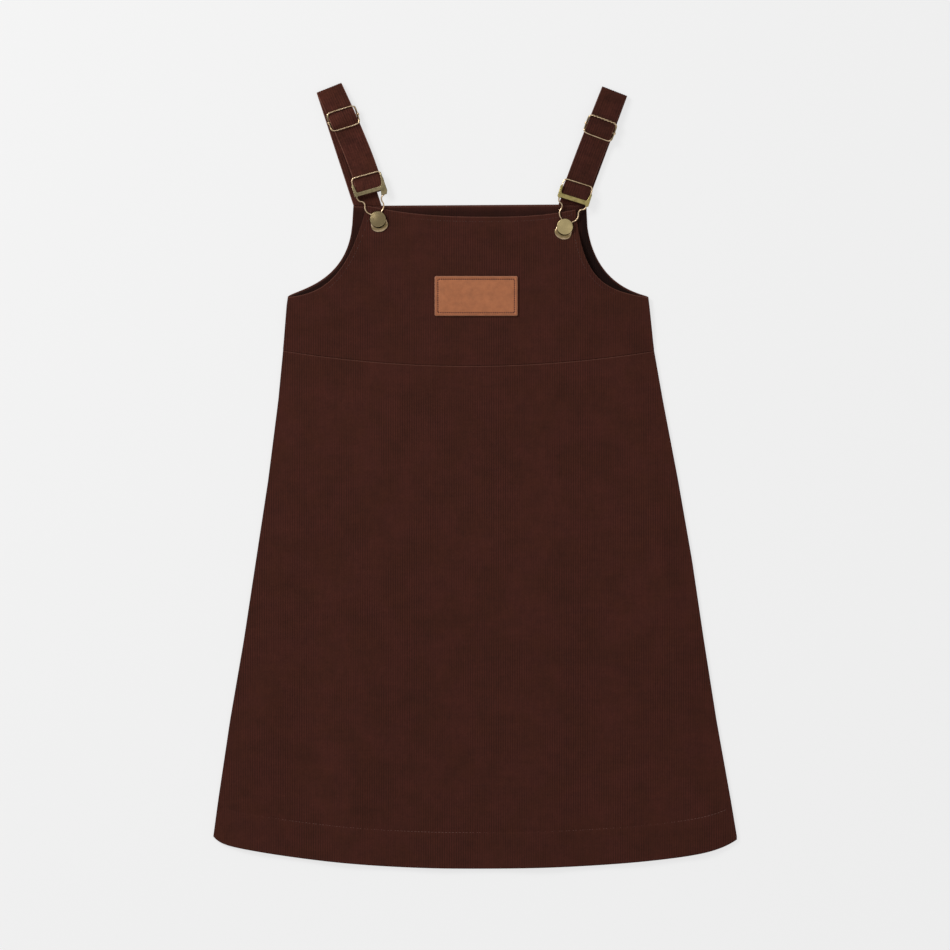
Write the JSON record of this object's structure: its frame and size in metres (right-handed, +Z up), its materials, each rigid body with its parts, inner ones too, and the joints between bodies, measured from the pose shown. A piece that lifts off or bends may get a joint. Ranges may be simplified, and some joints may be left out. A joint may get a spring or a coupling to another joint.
{
  "type": "pinafore dress",
  "caption": "Child's sleeveless corduroy pinafore dress laid flat, with folded straps on sliders and brace buckles, shank buttons and a bare leather patch.",
  "frame": {"origin": "middle of the outline seen from above, on the flat underside that rests on the surface", "axes": "+X across the dress towards its right edge as seen from the front, +Y along the dress from the hem to the straps, +Z up from the surface, out of the front"},
  "size_m": [0.492, 0.738, 0.0091],
  "materials": {
    "corduroy": "dark brown fine cotton corduroy, soft nap",
    "strap_corduroy": "dark brown fine cotton corduroy, folded and pressed",
    "facing_corduroy": "dark brown fine cotton corduroy, in shade",
    "leather": "tan leather, smooth grain, stitched border",
    "brass": "antique brass wire and plate, satin",
    "button_brass": "antique brass, brushed"
  },
  "bodies": {
    "root": {"front_skirt": "corduroy", "back_skirt": "corduroy", "front_bodice": "corduroy", "back_bodice": "corduroy", "back_facing": "facing_corduroy", "leather_patch": "leather", "strap_left": "strap_corduroy", "strap_right": "strap_corduroy", "slider_left": "brass", "slider_right": "brass", "buckle_wire_left": "brass", "buckle_wire_right": "brass", "buckle_bar_left": "brass", "buckle_bar_right": "brass", "button_left": "button_brass", "button_right": "button_brass"}
  },
  "joints": []
}
